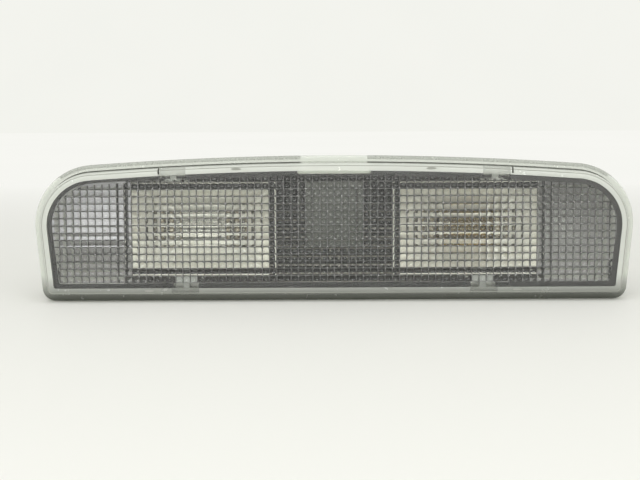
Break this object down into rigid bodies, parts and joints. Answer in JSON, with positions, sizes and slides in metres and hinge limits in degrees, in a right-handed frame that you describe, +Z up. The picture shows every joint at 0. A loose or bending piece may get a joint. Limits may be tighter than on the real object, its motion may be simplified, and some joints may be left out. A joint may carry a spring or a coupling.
{
  "type": "third brake light",
  "caption": "Long stepped-lens stop lamp with an arched top, metallised bowls, festoon bulbs, snap latches, rear connector and mounting studs.",
  "frame": {"origin": "centre of the bounding box, on the lower edge the lamp stands on", "axes": "+Z up, the lens faces -Y, +X to the right of someone facing the lens"},
  "size_m": [0.25, 0.046, 0.0605],
  "materials": {
    "clear_plastic": "clear, glossy front",
    "seal_rubber": "matt",
    "grey_plastic": "fine grain",
    "foam_rubber": "closed cell foam",
    "metallised": "vacuum metallised",
    "light_grey_plastic": "satin",
    "bulb_glass": "clear",
    "amber_glass": "amber tinted",
    "nickel_caps": "nickel plated",
    "tungsten": "drawn wire",
    "spring_brass": "stamped",
    "busbar_brass": "stamped",
    "terminal_tin": "tin plated",
    "black_plastic": "fine grain",
    "zinc_steel": "zinc plated",
    "vent_fabric": "woven film"
  },
  "bodies": {
    "housing": {"lens": "clear_plastic", "lens_seal": "seal_rubber", "housing": "grey_plastic", "body_gasket": "foam_rubber", "reflector_left": "metallised", "reflector_right": "metallised", "centre_cover": "light_grey_plastic", "bulb_left_glass": "bulb_glass", "bulb_left_caps": "nickel_caps", "bulb_left_filament": "tungsten", "bulb_right_glass": "amber_glass", "bulb_right_caps": "nickel_caps", "bulb_right_filament": "tungsten", "busbar_feed": "busbar_brass", "busbar_ground": "busbar_brass", "terminal_feed": "terminal_tin", "terminal_ground": "terminal_tin", "connector_shell": "black_plastic", "studs": "zinc_steel", "vent_cap": "black_plastic", "vent_membrane": "vent_fabric"},
    "contact_left_outer": {"contact_left_outer": "spring_brass"},
    "contact_left_inner": {"contact_left_inner": "spring_brass"},
    "contact_right_inner": {"contact_right_inner": "spring_brass"},
    "contact_right_outer": {"contact_right_outer": "spring_brass"},
    "latch_top_left": {"latch_top_left": "grey_plastic"},
    "latch_top_right": {"latch_top_right": "grey_plastic"},
    "latch_low_left": {"latch_low_left": "grey_plastic"},
    "latch_low_right": {"latch_low_right": "grey_plastic"}
  },
  "joints": [
    {"name": "latch_top_left_flex", "type": "hinge", "parent": "housing", "child": "latch_top_left", "pos_m": [-0.067, 0.0085, 0.05021], "axis": [1, 0, 0], "range_deg": [0, 4], "stiffness_Nm_per_rad": 0.2},
    {"name": "latch_top_right_flex", "type": "hinge", "parent": "housing", "child": "latch_top_right", "pos_m": [0.067, 0.0085, 0.05021], "axis": [1, 0, 0], "range_deg": [0, 4], "stiffness_Nm_per_rad": 0.2},
    {"name": "latch_low_left_flex", "type": "hinge", "parent": "housing", "child": "latch_low_left", "pos_m": [-0.062, 0.0085, 0.0087], "axis": [-1, 0, 0], "range_deg": [0, 4], "stiffness_Nm_per_rad": 0.2},
    {"name": "latch_low_right_flex", "type": "hinge", "parent": "housing", "child": "latch_low_right", "pos_m": [0.062, 0.0085, 0.0087], "axis": [-1, 0, 0], "range_deg": [0, 4], "stiffness_Nm_per_rad": 0.2},
    {"name": "contact_left_outer_flex", "type": "hinge", "parent": "housing", "child": "contact_left_outer", "pos_m": [-0.0739, 0.0079, 0.0295], "axis": [0, 0, -1], "range_deg": [0, 4], "stiffness_Nm_per_rad": 0.1},
    {"name": "contact_left_inner_flex", "type": "hinge", "parent": "housing", "child": "contact_left_inner", "pos_m": [-0.0381, 0.0079, 0.0295], "axis": [0, 0, 1], "range_deg": [0, 4], "stiffness_Nm_per_rad": 0.1},
    {"name": "contact_right_inner_flex", "type": "hinge", "parent": "housing", "child": "contact_right_inner", "pos_m": [0.0381, 0.0079, 0.0295], "axis": [0, 0, -1], "range_deg": [0, 4], "stiffness_Nm_per_rad": 0.1},
    {"name": "contact_right_outer_flex", "type": "hinge", "parent": "housing", "child": "contact_right_outer", "pos_m": [0.0739, 0.0079, 0.0295], "axis": [0, 0, 1], "range_deg": [0, 4], "stiffness_Nm_per_rad": 0.1}
  ]
}
